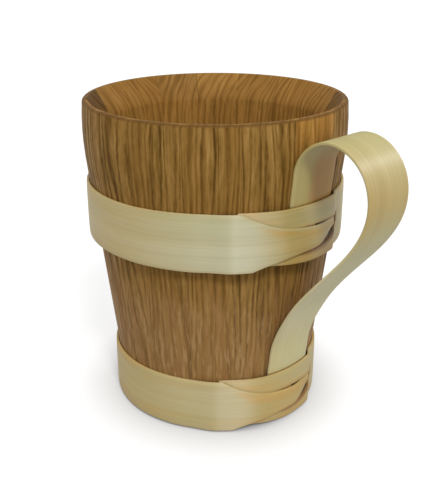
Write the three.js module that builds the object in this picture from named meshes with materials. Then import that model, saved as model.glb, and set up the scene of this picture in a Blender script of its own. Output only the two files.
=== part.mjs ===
// Wooden tankard: tapered oak staves round a grooved-in floor, held by two pale wooden hoops.
// Each hoop is one thin strip whose tapered end is threaded through a slot in its other end.
// The handle is a third bent strip with its ends trapped under the two hoops.
// Millimetres, +Z up. The origin is on the cup's axis, level with the feet of the staves.
// The handle points along +X.

import * as THREE from 'three';

// Overall sizes
const HEIGHT = 145;
const WIDEST_DIAMETER = 120;
const FOOT_DIAMETER = 91;

// The wall is straight up to its shoulder, then rounds upright to its widest place and in to the rim
const SHOULDER_BELOW_RIM = 27;
const WIDEST_BELOW_RIM = 12.5;

// Staves
const STAVE_COUNT = 16;
const WALL = 9.5;
const SEAM = 0.15;
const BEVEL_DEPTH = 13;
const LIP_WIDTH = 2.5;
const LIP_ROUND = 1.3;
const FOOT_CHAMFER = 0.8;

// Floor board and the groove in the staves that holds it
const FLOOR_THICKNESS = 8;
const FLOOR_RECESS = 6;
const GROOVE_WIDTH = 4.4;
const GROOVE_DEPTH = 3.5;

// Clearance between pieces that bear on each other
const FIT = 0.2;

// Hoops: strip section, and each hoop's height on the cup
const HOOP_WIDTH = 25.4;
const HOOP_THICKNESS = 1.4;
const TOP_HOOP_BELOW_RIM = 36;
const BOTTOM_HOOP_ABOVE_FOOT = 0.8;

// Hoop lock along the strip
const SLOT_PAST_HANDLE = 6;
const SLOTTED_TIP = 22;
const TONGUE_LENGTH = 53;
const LOWER_SHOULDER_LAG = 4;
const TAIL_LENGTH = 8;
const CLIMB = 14;

// Hoop lock across the strip
const TONGUE_UPPER_CUT = 9.9;
const TONGUE_LOWER_CUT = 6.4;
const TAIL_WIDTH = 3.5;
const TAIL_THICKNESS = 0.8;
const BAR_UNDER_SLOT = 4.8;
const SLOT_CLEARANCE = 0.35;
const SLOT_END_GAP = 0.9;
const TIP_TRIM = 2;

// How sharply the tongue's cuts and the slot's end turn
const CUT_POWER = 3.5;
const SLOT_END_POWER = 2.5;

// Handle strip: section, and the side view of its loop
const HANDLE_WIDTH = 26;
const HANDLE_THICKNESS = 1.6;
const HANDLE_TUCK_MARGIN = 2.5;
const HANDLE_DEPTH = 37.2;
const HANDLE_CREST_OUT = 16.5;
const HANDLE_CREST_BELOW_RIM = 5.5;
const HANDLE_CREST_RISE = 16.5;
const HANDLE_CREST_FALL = 21.5;
const HANDLE_MEETS_ABOVE_HOOP = 10;
const HANDLE_UPPER_EASE = 28;
const HANDLE_LOWER_EASE = 38;
const HANDLE_CUPPED_RUN = 24;

// Fineness of the curved surfaces
const STAVE_STEPS = 5;
const SHOULDER_STEPS = 4;
const LIP_STEPS = 4;
const HOOP_STEP = 4.2;
const LOCK_STEP = 2.1;
const HANDLE_STEPS = 72;
const WALL_RUN_STEPS = 8;

const SHOULDER = HEIGHT - SHOULDER_BELOW_RIM;
const WIDEST = HEIGHT - WIDEST_BELOW_RIM;
const TAPER = (WIDEST_DIAMETER - FOOT_DIAMETER) / (SHOULDER + WIDEST);
const TOP_HOOP_LOW = HEIGHT - TOP_HOOP_BELOW_RIM - HOOP_WIDTH;
const BOTTOM_HOOP_LOW = BOTTOM_HOOP_ABOVE_FOOT;
const HANDLE_EDGE = HANDLE_WIDTH / 2 + 2 * FIT;

const OAK = { color: 0x8a6436, roughness: 0.62, metalness: 0 };
const OAK_FLOOR = { color: 0x94703f, roughness: 0.66, metalness: 0 };
const PALE_STRIP = { color: 0xc9bf93, roughness: 0.5, metalness: 0 };

// Radius of the cup's outer and inner wall at a height
const outerWall = (z) => {
  const pastShoulder = Math.max(0, z - SHOULDER);
  return FOOT_DIAMETER / 2 + TAPER * (z - pastShoulder ** 2 / (2 * (WIDEST - SHOULDER)));
};
const innerWall = (z) => outerWall(z) - WALL;

// Goes smoothly from 0 at start to 1 at end
const ease = (x, start, end) => THREE.MathUtils.smoothstep(x, start, end);

function meshOf(name, geometry, finish) {
  const mesh = new THREE.Mesh(geometry, new THREE.MeshStandardMaterial(finish));
  mesh.name = name;
  return mesh;
}

function geometryOf(points, triangles) {
  const geometry = new THREE.BufferGeometry().setFromPoints(points);
  geometry.setIndex(triangles.flat());
  geometry.computeVertexNormals();
  return geometry;
}

// Half of a stave's side view, as (radius, height): foot, outer wall, lip, bevel, inner wall and groove
function staveProfile() {
  const lipStart = HEIGHT - LIP_ROUND;
  const rim = outerWall(lipStart);
  const lip = new THREE.EllipseCurve(rim - LIP_ROUND, lipStart, LIP_ROUND, LIP_ROUND, 0, Math.PI / 2);
  const bevelFoot = HEIGHT - BEVEL_DEPTH;
  const bevel = new THREE.QuadraticBezierCurve(
    new THREE.Vector2(rim - LIP_WIDTH, HEIGHT),
    new THREE.Vector2(innerWall(bevelFoot), bevelFoot + BEVEL_DEPTH / 4),
    new THREE.Vector2(innerWall(bevelFoot), bevelFoot),
  );
  const rounded = [];
  for (let step = 0; step < SHOULDER_STEPS; step += 1) {
    const height = SHOULDER + ((lipStart - SHOULDER) * step) / SHOULDER_STEPS;
    rounded.push(new THREE.Vector2(outerWall(height), height));
  }
  const groove = grooveSpan();
  return [
    new THREE.Vector2(outerWall(0) - FOOT_CHAMFER, 0),
    new THREE.Vector2(outerWall(FOOT_CHAMFER), FOOT_CHAMFER),
    ...rounded,
    ...lip.getPoints(LIP_STEPS),
    ...bevel.getPoints(LIP_STEPS),
    new THREE.Vector2(innerWall(groove.top), groove.top),
    new THREE.Vector2(innerWall(groove.top) + GROOVE_DEPTH, groove.top),
    new THREE.Vector2(innerWall(groove.low) + GROOVE_DEPTH, groove.low),
    new THREE.Vector2(innerWall(groove.low), groove.low),
    new THREE.Vector2(innerWall(FOOT_CHAMFER), FOOT_CHAMFER),
    new THREE.Vector2(innerWall(0) + FOOT_CHAMFER, 0),
  ];
}

// The groove is centred on the floor board's thickness
function grooveSpan() {
  const middle = FLOOR_RECESS + FLOOR_THICKNESS / 2;
  return { low: middle - GROOVE_WIDTH / 2, top: middle + GROOVE_WIDTH / 2 };
}

// One stave: the profile swept round its share of the circle, its two sides parallel to the seams
function staveGeometry() {
  const profile = staveProfile();
  const points = [];
  const triangles = [];
  const count = profile.length;
  for (let step = 0; step <= STAVE_STEPS; step += 1) {
    const across = (2 * step) / STAVE_STEPS - 1;
    for (const { x: radius, y: height } of profile) {
      const halfAngle = Math.PI / STAVE_COUNT - Math.asin(SEAM / 2 / radius);
      const angle = across * halfAngle;
      points.push(new THREE.Vector3(radius * Math.cos(angle), radius * Math.sin(angle), height));
    }
  }
  for (let step = 0; step < STAVE_STEPS; step += 1) {
    for (let k = 0; k < count; k += 1) {
      const here = step * count + k;
      const next = step * count + ((k + 1) % count);
      triangles.push([here, here + count, next + count], [here, next + count, next]);
    }
  }
  const side = THREE.ShapeUtils.triangulateShape(profile, []);
  const last = STAVE_STEPS * count;
  for (const [a, b, c] of side) {
    triangles.push([a, b, c], [last + a, last + c, last + b]);
  }
  return geometryOf(points, triangles);
}

// Floor board: a disc thinned towards its edge, so that the edge slides into the groove
function floorGeometry() {
  const groove = grooveSpan();
  const edgeLow = groove.low + FIT;
  const edgeTop = groove.top - FIT;
  const floorTop = FLOOR_RECESS + FLOOR_THICKNESS;
  const edgeRadius = innerWall(groove.low) + GROOVE_DEPTH - FIT;
  const profile = [
    new THREE.Vector2(0, FLOOR_RECESS),
    new THREE.Vector2(innerWall(FLOOR_RECESS) - 2 * GROOVE_DEPTH, FLOOR_RECESS),
    new THREE.Vector2(innerWall(edgeLow) - FIT, edgeLow),
    new THREE.Vector2(edgeRadius, edgeLow),
    new THREE.Vector2(edgeRadius, edgeTop),
    new THREE.Vector2(innerWall(edgeTop) - FIT, edgeTop),
    new THREE.Vector2(innerWall(edgeTop) - GROOVE_DEPTH, floorTop),
    new THREE.Vector2(0, floorTop),
  ];
  const lathe = new THREE.LatheGeometry(profile, STAVE_COUNT * STAVE_STEPS);
  return lathe.rotateX(Math.PI / 2);
}

// A bent strip with a thickness. The grid has stations along the strip and rows across it.
// place(station, row, side) gives a point, with side 0 on the inner face and 1 on the outer face.
// open(station, row) tells which cells of the grid are left out as a slot.
function stripGeometry(stations, rows, place, open) {
  const points = [];
  const triangles = [];
  const index = (station, row, side) => (station * rows + row) * 2 + side;
  const solid = (station, row) => {
    const inGrid = station >= 0 && station < stations - 1 && row >= 0 && row < rows - 1;
    return inGrid && !open(station, row);
  };
  const wall = (a, b) => {
    triangles.push([a, a + 1, b + 1], [a, b + 1, b]);
  };
  for (let station = 0; station < stations; station += 1) {
    for (let row = 0; row < rows; row += 1) {
      points.push(place(station, row, 0), place(station, row, 1));
    }
  }
  for (let station = 0; station < stations - 1; station += 1) {
    for (let row = 0; row < rows - 1; row += 1) {
      if (!solid(station, row)) continue;
      const a = index(station, row, 0);
      const b = index(station + 1, row, 0);
      const c = index(station + 1, row + 1, 0);
      const d = index(station, row + 1, 0);
      triangles.push([a, b, c], [a, c, d]);
      triangles.push([a + 1, c + 1, b + 1], [a + 1, d + 1, c + 1]);
      if (!solid(station, row - 1)) wall(a, b);
      if (!solid(station + 1, row)) wall(b, c);
      if (!solid(station, row + 1)) wall(c, d);
      if (!solid(station - 1, row)) wall(d, a);
    }
  }
  return geometryOf(points, triangles);
}

// Stations between key places along a strip, with a finer step inside the lock
function stationsBetween(keys, step) {
  const stations = [keys[0]];
  for (let k = 1; k < keys.length; k += 1) {
    const length = keys[k] - keys[k - 1];
    const steps = Math.max(1, Math.round(length / step(keys[k - 1])));
    for (let i = 1; i <= steps; i += 1) {
      stations.push(keys[k - 1] + (length * i) / steps);
    }
  }
  return stations;
}

// One hoop. Places along it are arc lengths from the middle of the handle, turning from +X to +Y.
// It starts at its slotted tip, passes over the handle, goes once round the cup and climbs over
// the tip. Its tongue then narrows, sinks into the slot and ends as a tail under the strip.
// A straight strip bends to a cylinder, so it is tight on the tapered wall at its upper edge only.
function hoopGeometry(low) {
  const tightRadius = outerWall(Math.min(low + HOOP_WIDTH, WIDEST));
  const turn = 2 * Math.PI * tightRadius;
  const lockEnd = HANDLE_EDGE + SLOT_PAST_HANDLE;
  const tip = -HANDLE_EDGE - SLOTTED_TIP;
  const shoulder = lockEnd - TONGUE_LENGTH;
  const sinkStart = HANDLE_EDGE - CLIMB;
  const tailEnd = lockEnd + TAIL_LENGTH;
  const overHandle = HANDLE_THICKNESS + FIT;
  const overStrip = HOOP_THICKNESS + FIT;

  // The thin tail lies in the gap that the tapered wall leaves behind the strip
  const tailDrop = tightRadius - outerWall(low + HOOP_WIDTH - TONGUE_UPPER_CUT);
  const overTail = Math.max(0, TAIL_THICKNESS + FIT - tailDrop);
  const pastHandle = (s) => ease(s, HANDLE_EDGE, lockEnd - FIT);

  // Height of the inner face over the tight radius, on the first and on the second way past the lock
  const firstLift = (s) => {
    const lifted = ease(s, tip + FIT, -HANDLE_EDGE) * (1 - ease(s, tailEnd + FIT, tailEnd + CLIMB));
    return FIT + lifted * THREE.MathUtils.lerp(overHandle, overTail, pastHandle(s));
  };
  const secondLift = (s) => {
    const onTip = overStrip * ease(s, tip - CLIMB, tip - FIT) * (1 - ease(s, sinkStart, HANDLE_EDGE));
    const onHandle = overHandle * ease(s, tip + FIT, -HANDLE_EDGE);
    return FIT + onTip + THREE.MathUtils.lerp(onHandle, -tailDrop, pastHandle(s));
  };
  const tongueThickness = (s) => THREE.MathUtils.lerp(HOOP_THICKNESS, TAIL_THICKNESS, pastHandle(s));

  // Edges of the tongue, as distances down from the strip's upper edge.
  // Each cut is steep at its shoulder and then runs out level.
  const between = (s, start) => THREE.MathUtils.clamp((s - start) / (lockEnd - start), 0, 1);
  const cutShare = (s, start) => 1 - (1 - between(s, start)) ** CUT_POWER;
  const tongueUpper = (s) => TONGUE_UPPER_CUT * cutShare(s, shoulder);
  const tongueLower = (s) => {
    const cut = TONGUE_LOWER_CUT * cutShare(s, shoulder + LOWER_SHOULDER_LAG);
    const toTail = HOOP_WIDTH - TONGUE_LOWER_CUT - TONGUE_UPPER_CUT - TAIL_WIDTH;
    return HOOP_WIDTH - cut - toTail * ease(s, sinkStart, (HANDLE_EDGE + lockEnd) / 2);
  };

  // Edges of the slot: close above the tongue, with a gap under it that closes at the slot's end
  const slotUpper = (s) => tongueUpper(Math.max(s, sinkStart)) - SLOT_CLEARANCE;
  const slotLower = (s) => {
    const atStart = HOOP_WIDTH - BAR_UNDER_SLOT;
    const atEnd = TONGUE_UPPER_CUT + TAIL_WIDTH + SLOT_END_GAP;
    return THREE.MathUtils.lerp(atStart, atEnd, between(s, sinkStart) ** SLOT_END_POWER);
  };

  // The slotted tip is trimmed along its lower edge
  const tipLower = (s) => HOOP_WIDTH - TIP_TRIM * (1 - ease(s, -HANDLE_EDGE - CLIMB, sinkStart));

  // Rows across the strip: the slot's edges are rows, and on the tongue the rows draw together
  const rowsAt = (s) => {
    const past = s - turn;
    const upper = tongueUpper(past);
    const lower = tongueLower(past);
    const slotTop = slotUpper(s);
    const slotFoot = slotLower(s);
    const plain = [0, slotTop / 2, slotTop, slotFoot, (slotFoot + tipLower(s)) / 2, tipLower(s)];
    const share = ease(s, tailEnd, turn + tip);
    return plain.map((down, row) => {
      const drawnIn = upper + ((lower - upper) * row) / (plain.length - 1);
      return THREE.MathUtils.lerp(down, drawnIn, share);
    });
  };

  const keys = [tip, sinkStart, lockEnd, tailEnd + CLIMB];
  keys.push(turn + tip - CLIMB, turn + lockEnd, turn + tailEnd);
  const inLock = (s) => s < tailEnd + CLIMB - FIT || s > turn + tip - CLIMB - FIT;
  const stations = stationsBetween(keys, (s) => (inLock(s) ? LOCK_STEP : HOOP_STEP));
  const rowTable = stations.map(rowsAt);
  const slotRow = 2;

  const place = (station, row, side) => {
    const s = stations[station];
    const height = low + HOOP_WIDTH - rowTable[station][row];
    const onFirst = s < turn / 2;
    const lift = onFirst ? firstLift(s) : secondLift(s - turn);
    const thickness = onFirst ? HOOP_THICKNESS : tongueThickness(s - turn);
    const radius = tightRadius + lift + side * thickness;
    const angle = s / tightRadius;
    return new THREE.Vector3(radius * Math.cos(angle), radius * Math.sin(angle), height);
  };
  const open = (station, row) => {
    const s = (stations[station] + stations[Math.min(station + 1, stations.length - 1)]) / 2;
    return row === slotRow && s > sinkStart && s < lockEnd;
  };
  return stripGeometry(stations.length, rowTable[0].length, place, open);
}

// Side view of the face of the handle that starts against the wall, as (radius, height)
function handlePath() {
  const offWall = (z, out) => new THREE.Vector2(outerWall(z) + out, z);
  const outOfWall = FIT + HANDLE_THICKNESS;
  const downWall = new THREE.Vector2(-TAPER, -1).normalize();
  const outward = new THREE.Vector2(1, 0);
  const downward = new THREE.Vector2(0, -1);
  const crestHeight = HEIGHT - HANDLE_CREST_BELOW_RIM;

  const tuckedHeight = TOP_HOOP_LOW + HANDLE_TUCK_MARGIN;
  const leavesHeight = crestHeight - HANDLE_CREST_RISE;
  const onWall = [];
  for (let step = 0; step <= WALL_RUN_STEPS; step += 1) {
    onWall.push(offWall(THREE.MathUtils.lerp(tuckedHeight, leavesHeight, step / WALL_RUN_STEPS), FIT));
  }
  const wallRun = new THREE.SplineCurve(onWall);
  const leaves = onWall[WALL_RUN_STEPS];
  const upWall = wallRun.getTangent(1);
  const crest = offWall(crestHeight, HANDLE_CREST_OUT);
  const farthest = offWall(crestHeight - HANDLE_CREST_FALL, HANDLE_DEPTH);
  const meets = offWall(BOTTOM_HOOP_LOW + HOOP_WIDTH + HANDLE_MEETS_ABOVE_HOOP, outOfWall);
  const end = offWall(BOTTOM_HOOP_LOW + HANDLE_TUCK_MARGIN, outOfWall);

  // A bend leaves one point along one direction and comes into the next along another
  const bend = (from, leaving, leavingReach, to, coming, comingReach) => new THREE.CubicBezierCurve(
    from,
    from.clone().addScaledVector(leaving, leavingReach),
    to.clone().addScaledVector(coming, -comingReach),
    to,
  );
  const round = 0.5523;
  const outToFarthest = farthest.x - crest.x;

  const path = new THREE.CurvePath();
  path.add(wallRun);
  path.add(bend(leaves, upWall, round * HANDLE_CREST_RISE, crest, outward, round * HANDLE_CREST_OUT));
  path.add(bend(crest, outward, round * outToFarthest, farthest, downward, round * HANDLE_CREST_FALL));
  path.add(bend(farthest, downward, HANDLE_UPPER_EASE, meets, downWall, HANDLE_LOWER_EASE));
  path.add(new THREE.LineCurve(meets, end));
  return path;
}

// The handle strip is flat across its width in the loop, and cupped to the wall at both ends
function handleGeometry() {
  const path = handlePath();
  const length = path.getLength();
  const rows = 7;
  const lengths = path.getCurveLengths();
  const firstBend = lengths[0];
  const lastBend = lengths[lengths.length - 2];
  const places = path.getSpacedPoints(HANDLE_STEPS);
  const tangents = places.map((_, i) => path.getTangentAt(i / HANDLE_STEPS));

  const place = (station, row, side) => {
    const along = (length * station) / HANDLE_STEPS;
    const cupped = 1 - ease(along, firstBend, firstBend + HANDLE_CUPPED_RUN)
      * (1 - ease(along, lastBend - HANDLE_CUPPED_RUN, lastBend));
    const across = HANDLE_WIDTH * (row / (rows - 1) - 0.5);
    const normal = new THREE.Vector2(tangents[station].y, -tangents[station].x);
    const point = places[station].clone().addScaledVector(normal, side * HANDLE_THICKNESS);
    const angle = across / point.x;
    const flat = new THREE.Vector3(point.x, across, point.y);
    const round = new THREE.Vector3(point.x * Math.cos(angle), point.x * Math.sin(angle), point.y);
    return flat.lerp(round, cupped);
  };
  return stripGeometry(HANDLE_STEPS + 1, rows, place, () => false);
}

const tankard = new THREE.Group();

for (let i = 0; i < STAVE_COUNT; i += 1) {
  const stave = meshOf(`stave_${String(i + 1).padStart(2, '0')}`, staveGeometry(), OAK);
  stave.rotation.z = (i * 2 * Math.PI) / STAVE_COUNT;
  tankard.add(stave);
}
tankard.add(meshOf('floor_board', floorGeometry(), OAK_FLOOR));
tankard.add(meshOf('top_hoop', hoopGeometry(TOP_HOOP_LOW), PALE_STRIP));
tankard.add(meshOf('bottom_hoop', hoopGeometry(BOTTOM_HOOP_LOW), PALE_STRIP));
tankard.add(meshOf('handle', handleGeometry(), PALE_STRIP));

export default tankard;
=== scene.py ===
# Wooden tankard: fine meshes, wood materials, light and camera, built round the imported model.
# Metres, +Z up. The origin is on the cup's axis, level with the feet of the staves.
# The handle points along +X.

import math
import random

import bmesh
import bpy
import numpy as np
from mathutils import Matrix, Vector


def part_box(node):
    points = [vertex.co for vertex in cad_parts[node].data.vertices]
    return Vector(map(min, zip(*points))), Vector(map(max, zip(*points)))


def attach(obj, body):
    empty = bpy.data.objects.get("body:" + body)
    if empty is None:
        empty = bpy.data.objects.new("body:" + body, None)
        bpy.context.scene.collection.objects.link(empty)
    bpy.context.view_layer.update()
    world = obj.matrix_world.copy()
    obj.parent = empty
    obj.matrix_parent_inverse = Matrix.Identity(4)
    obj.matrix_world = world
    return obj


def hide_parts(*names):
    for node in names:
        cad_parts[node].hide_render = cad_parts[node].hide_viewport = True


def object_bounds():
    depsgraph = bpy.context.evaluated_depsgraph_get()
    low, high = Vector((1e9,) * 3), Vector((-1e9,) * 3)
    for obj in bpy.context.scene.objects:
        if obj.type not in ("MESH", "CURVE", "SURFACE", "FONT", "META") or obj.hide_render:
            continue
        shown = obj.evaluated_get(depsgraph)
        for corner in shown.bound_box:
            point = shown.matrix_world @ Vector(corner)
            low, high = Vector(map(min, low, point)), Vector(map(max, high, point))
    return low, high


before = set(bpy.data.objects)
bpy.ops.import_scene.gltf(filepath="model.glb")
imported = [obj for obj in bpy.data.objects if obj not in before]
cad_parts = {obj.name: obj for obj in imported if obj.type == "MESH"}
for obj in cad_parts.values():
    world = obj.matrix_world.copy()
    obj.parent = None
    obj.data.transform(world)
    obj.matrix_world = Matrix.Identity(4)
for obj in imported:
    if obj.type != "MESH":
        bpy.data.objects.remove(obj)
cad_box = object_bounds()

MM = 0.001

# Cup and staves
HEIGHT = cad_box[1].z - cad_box[0].z
WIDEST_RADIUS = cad_box[1].y
FOOT_RADIUS = 45.5 * MM
SHOULDER = HEIGHT - 27 * MM
WIDEST = HEIGHT - 12.5 * MM
TAPER = 2 * (WIDEST_RADIUS - FOOT_RADIUS) / (SHOULDER + WIDEST)
STAVE_COUNT = 16
WALL = 9.5 * MM
SEAM = 0.04 * MM
SEAM_EASE = 0.12 * MM
BEVEL_DEPTH = 13 * MM
BEVEL_BEND = BEVEL_DEPTH / 4
LIP_WIDTH = 2.5 * MM
LIP_ROUND = 1.3 * MM
FOOT_CHAMFER = 0.8 * MM

# Floor board and the groove that holds it
FLOOR_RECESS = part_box("floor_board")[0].z
FLOOR_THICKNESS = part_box("floor_board")[1].z - FLOOR_RECESS
GROOVE_WIDTH = 4.4 * MM
GROOVE_DEPTH = 3.5 * MM
FLOOR_UPPER_BEVEL = GROOVE_DEPTH
FLOOR_LOWER_BEVEL = 2 * GROOVE_DEPTH
FLOOR_EASE = 0.4 * MM

# Clearance between pieces that bear on each other
FIT = 0.2 * MM

# Hoops
TOP_HOOP_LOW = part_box("top_hoop")[0].z
BOTTOM_HOOP_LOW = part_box("bottom_hoop")[0].z
HOOP_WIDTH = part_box("top_hoop")[1].z - TOP_HOOP_LOW
HOOP_THICKNESS = 1.4 * MM
HOOP_EASE = 0.3 * MM

# Hoop lock along the strip
SLOT_PAST_HANDLE = 6 * MM
SLOTTED_TIP = 22 * MM
TONGUE_LENGTH = 53 * MM
LOWER_SHOULDER_LAG = 4 * MM
TAIL_LENGTH = 8 * MM
CLIMB = 14 * MM

# Hoop lock across the strip
TONGUE_UPPER_CUT = 9.9 * MM
TONGUE_LOWER_CUT = 6.4 * MM
TAIL_WIDTH = 3.5 * MM
TAIL_THICKNESS = 0.8 * MM
BAR_UNDER_SLOT = 4.8 * MM
SLOT_CLEARANCE = 0.35 * MM
SLOT_END_GAP = 0.9 * MM
TIP_TRIM = 2 * MM

# How sharply the tongue's cuts and the slot's end turn
CUT_POWER = 3.5
SLOT_END_POWER = 2.5

# Handle
HANDLE_WIDTH = 26 * MM
HANDLE_THICKNESS = 1.6 * MM
HANDLE_EASE = 0.4 * MM
HANDLE_TUCK_MARGIN = 2.5 * MM
HANDLE_DEPTH = 37.2 * MM
HANDLE_CREST_OUT = 16.5 * MM
HANDLE_CREST_BELOW_RIM = 5.5 * MM
HANDLE_CREST_RISE = 16.5 * MM
HANDLE_CREST_FALL = 21.5 * MM
HANDLE_MEETS_ABOVE_HOOP = 10 * MM
HANDLE_UPPER_EASE = 28 * MM
HANDLE_LOWER_EASE = 38 * MM
HANDLE_CUPPED_RUN = 24 * MM
HANDLE_EDGE = HANDLE_WIDTH / 2 + 2 * FIT

# Reach of a cubic curve's controls that makes it nearly a quarter circle
QUARTER_ROUND = 0.5523

# Hand-shaved unevenness of the strips, always inside the plain strip, and the lengths of its slow waves
SHAVED_THIN = 0.14 * MM
SHAVED_EDGE = 0.35 * MM
EDGE_THIN = 0.25 * MM
EDGE_REACH = 2 * MM
THIN_LENGTH = 55 * MM
HANDLE_LEFT_LENGTH = 90 * MM
HANDLE_RIGHT_LENGTH = 70 * MM
HANDLE_SEED = 31
WAVES = 4
WAVE_PHASES = 6.28

# Length over which a hoop pales towards its tongue: a painted sheen where its front catches the lamp
PAINTED_SHEEN_RUN = 65 * MM

# How far the slotted end of a hoop pales
SLOTTED_PALE = 0.35

# The handle is painted pale below its farthest bend, partly its own paler colour and partly painted light on
# faces turned from the lamp, and a painted highlight lies between crest and bend: the length over which the
# paleness grows, how strong the highlight is, how much less paleness there is at the foot, and the pale
# colour's share
HANDLE_PALENESS_RUN = 2 * HANDLE_CREST_FALL
CREST_HIGHLIGHT = 0.2
FOOT_LESS_PALE = 0.5
PALE_LIT_SHARE = 0.85

# How far painted shade reaches from a gap: above and below a tongue, past its slot, and above a hoop
PAINTED_SHADE_ABOVE_TONGUE = 1.1 * MM
PAINTED_SHADE_BELOW_TONGUE = 2.6 * MM
PAINTED_SHADE_PAST_SLOT = 4 * MM
PAINTED_SHADE_ABOVE_HOOP = 0.9 * MM

# A distance, in reaches of painted shade, that is clear of it all, and the share of the painted shade's
# colour in the gap
NO_PAINTED_SHADE = 3.0
GAP_SHADE_SHARE = 0.8

# Painted shade at the handle's farthest bend, which faces away from the lamp, and the loop's painted shadow
# on
# its root inside the loop: where that shadow starts and is full, as shares of the width
FAR_BEND_SHADE = 0.4
ROOT_SHADOW_START = 0.25
ROOT_SHADOW_FULL = 0.5

# Fineness of the meshes
STAVE_STEPS = 10
WALL_STEP = 6 * MM
LIP_STEPS = 6
BEVEL_STEPS = 14
FLOOR_STEPS = 96
STRIP_STEP = 1.5 * MM
PATH_STEPS = 200
HANDLE_STEPS = 170
HANDLE_ROWS = 15
BAR_ROWS = 6
SLOT_ROWS = 7
EDGE_STEPS = 3

# Angles from which an edge is rounded, and from which it is shaded as a sharp one
STAVE_SHARP = math.radians(28)
FLOOR_SHARP = math.radians(20)
STRIP_SHARP = math.radians(50)
SHADED_SHARP = math.radians(40)

# Growth rings: how they lean across a board, the staves where they lean the other way, the distance to
# the middle of the tree, and how steeply a board runs out of them along its length
RINGS_LEAST_LEAN = math.radians(24)
RINGS_MOST_LEAN = math.radians(56)
RINGS_TURNED = (9, 10, 11, 12)
RINGS_RADIUS = 75 * MM
RINGS_RUN_OUT = 0.035

# Staves with wavy grain, and how wavy the other boards are
WAVY_STAVES = (4, 7, 11, 12, 13, 14)
STRAIGHT_GRAIN = 0.2

# Places of the pieces in the patterns of the woods, and the millimetres between one place and the next
WOOD_SEED = 20
STAVE_PLACES = (1, 9)
FLOOR_PLACE = 4
HANDLE_PLACE = 1
BOARD_APART = 137
STRIP_APART = 211

# Brightness of single staves, where it isn't drawn by lot. Stave 3's dark tone is painted shade on the wall's
# side turned from the lamp.
STAVE_TONES = {3: -2.2, 13: 0.3}

# Brightness of single staves on the bevel, where it differs: -1 is dark, 1 is light
BEVEL_TONES = {3: -1.0, 6: -0.1, 7: 0.1, 8: -0.4, 9: -0.1, 10: -0.1, 11: -1.4}

# How much brighter a tone of 1 is, on the wall and on the bevel
TONE_STEP = 0.07
BEVEL_TONE_STEP = 0.4

# One stave turns golden towards the rim, from this height up, and this much brighter
GOLDEN_STAVE = 1
GOLDEN_FROM = HEIGHT - 26 * MM
GOLDEN_TONE = 0.6

# The lower wall is painted paler, as light thrown up by the white floor, from this height down
LOW_WALL_FROM = 85 * MM
LOW_WALL_FULLY = 45 * MM

# Studio: light, and the floor with its opening under the cup
FILL_STRENGTH = 0.85
SEEN_STRENGTH = 1.0
KEY_STRENGTH = 1.57
KEY_SPREAD = math.radians(12)
KEY_ROUND = math.radians(-28)
KEY_UP = math.radians(48)
FLOOR_RADIUS = 2.8
FLOOR_OPENING = FOOT_RADIUS - 2 * MM
FLOOR_BOUNCE = 0.35
FLOOR_SHADED = 0.4
FLOOR_GLOW = 0.62
FLOOR_DARK_REACH = 25 * MM

# Camera, with the focal length and the picture's height in pixels
CAMERA_ROUND = math.radians(-43.57)
CAMERA_DISTANCE = 350 * MM
CAMERA_HEIGHT = 214.2 * MM
AIM_HEIGHT = 70.8 * MM
AIM_ASIDE = 1.5 * MM
FOCAL_PIXELS = 778.2
PICTURE_HEIGHT = 495
SENSOR = 36.0
CAMERA_NEAR = 10 * MM


# Helpers for shapes

def outer_wall(height):
    """Straight up to the shoulder, then rounding upright to the widest place and in to the rim"""
    past_shoulder = np.maximum(0, height - SHOULDER)
    return FOOT_RADIUS + TAPER * (height - past_shoulder ** 2 / (2 * (WIDEST - SHOULDER)))


def up_wall(height):
    """Direction up along the wall, as (outward, up)"""
    slope = TAPER * (1 - max(0, height - SHOULDER) / (WIDEST - SHOULDER))
    return np.array([slope, 1]) / math.hypot(slope, 1)


def inner_wall(height):
    return outer_wall(height) - WALL


def ease(x, start, end):
    """Goes smoothly from 0 at start to 1 at end"""
    share = np.clip((x - start) / (end - start), 0.0, 1.0)
    return share * share * (3 - 2 * share)


def line(start, end, steps):
    """Points from start up to, but not including, end"""
    share = np.arange(steps)[:, None] / steps
    return np.array(start) * (1 - share) + np.array(end) * share


def arc(centre, radius, start, end, steps):
    """Points on a circle from one angle up to, but not including, another"""
    angle = start + (end - start) * np.arange(steps) / steps
    return np.array(centre) + radius * np.stack([np.cos(angle), np.sin(angle)], axis=1)


def bezier(controls, steps):
    """Points on a quadratic or cubic curve, up to but not including its end"""
    share = np.arange(steps)[:, None] / steps
    points = [np.array(c, float) + 0 * share for c in controls]
    while len(points) > 1:
        points = [a * (1 - share) + b * share for a, b in zip(points, points[1:])]
    return points[0]


def waver(place, seed, longest):
    """A slow, seeded unevenness from 0 to 1 along a strip"""
    draw = random.Random(seed)
    total = 0
    for k in range(1, WAVES + 1):
        total = total + np.sin(place * 2 * math.pi * k / longest + draw.uniform(0, WAVE_PHASES)) / k
    return np.clip(0.5 + total / WAVES, 0, 1)


# Helpers for meshes

def new_mesh(name, points, faces):
    mesh = bpy.data.meshes.new(name)
    mesh.from_pydata([tuple(p) for p in points], [], faces)
    return mesh


def new_object(name, data):
    made = bpy.data.objects.new(name, data)
    bpy.context.scene.collection.objects.link(made)
    return made


def set_attribute(mesh, name, values):
    """Stores one number or one vector for each vertex, or one number for all, for the materials to read"""
    values = np.asarray(values, np.float32)
    if values.ndim == 0:
        values = np.full(len(mesh.vertices), values)
    if values.ndim == 1:
        made = mesh.attributes.new(name, "FLOAT", "POINT")
        made.data.foreach_set("value", values)
    else:
        made = mesh.attributes.new(name, "FLOAT_VECTOR", "POINT")
        made.data.foreach_set("vector", values.ravel())


def vectors_of(items, name):
    """The named vector of each item"""
    vectors = np.zeros(len(items) * 3)
    items.foreach_get(name, vectors)
    return vectors.reshape(-1, 3)


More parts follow.
